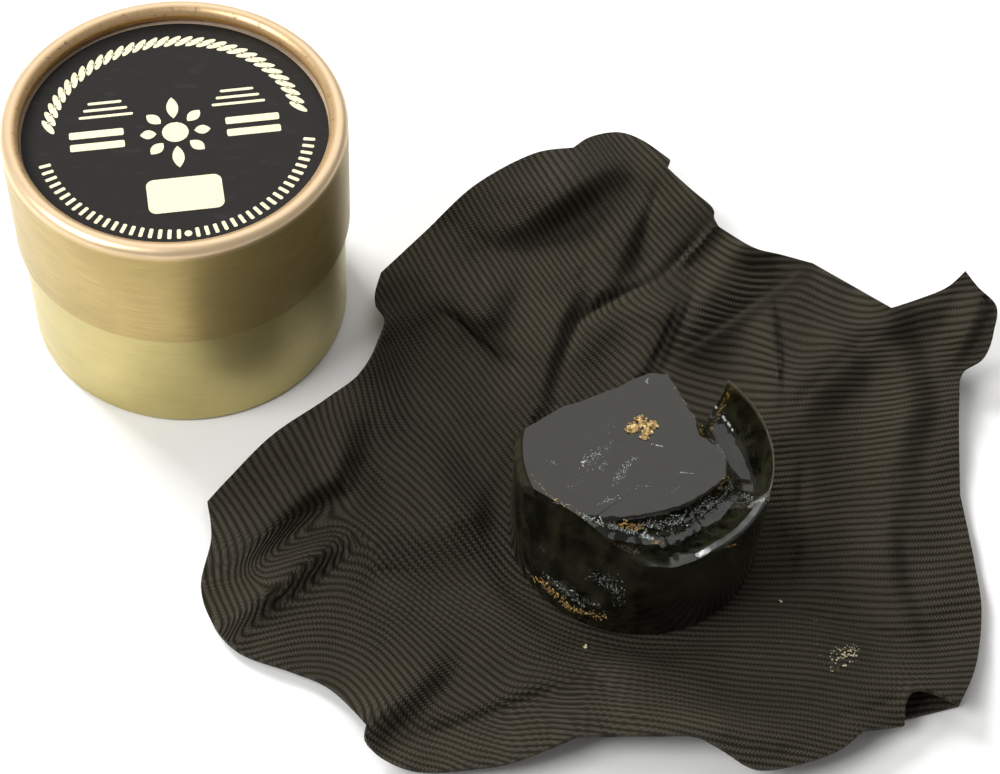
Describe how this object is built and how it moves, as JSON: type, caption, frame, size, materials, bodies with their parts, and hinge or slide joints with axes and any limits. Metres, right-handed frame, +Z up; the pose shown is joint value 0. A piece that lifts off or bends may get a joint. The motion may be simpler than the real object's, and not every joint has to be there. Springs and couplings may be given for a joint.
{
  "type": "rosin cake with cloth and box",
  "caption": "Used dark rosin cake with chipped edges resting on a crumpled ribbed cloth, beside its closed round gold paper box with a telescoping lid.",
  "frame": {"origin": "on the table, under the centre of the rosin cake and of the level part of the cloth", "axes": "+Z up from the table, the closed box stands towards -X and +Y, and the broken front of the cake faces -Y"},
  "size_m": [0.1668, 0.1324, 0.0445],
  "materials": {
    "cloth": "matte",
    "rosin": "gloss",
    "rosin_dust": "matte",
    "rosin_amber": "satin",
    "board": "matte",
    "base_gold_paper": "satin",
    "lid_gold_paper": "satin",
    "label_paper": "matte"
  },
  "bodies": {
    "cloth": {"cloth": "cloth", "rosin_crumbs": "rosin_dust"},
    "cake": {"rosin_cake": "rosin", "top_chip": "rosin_amber"},
    "box_base": {"base_tube": "board", "base_wrap": "base_gold_paper", "base_disc": "board"},
    "lid": {"lid_tube": "board", "lid_wrap": "lid_gold_paper", "lid_disc": "board", "lid_label": "label_paper"}
  },
  "joints": [
    {"name": "cake_lift", "type": "slide", "parent": "cloth", "child": "cake", "axis": [0, 0, 1], "range_m": [0, 0.06]},
    {"name": "box_lift", "type": "slide", "parent": "cloth", "child": "box_base", "axis": [0, 0, 1], "range_m": [0, 0.06]},
    {"name": "lid_lift", "type": "slide", "parent": "box_base", "child": "lid", "axis": [0, 0, 1], "range_m": [0, 0.06]}
  ]
}
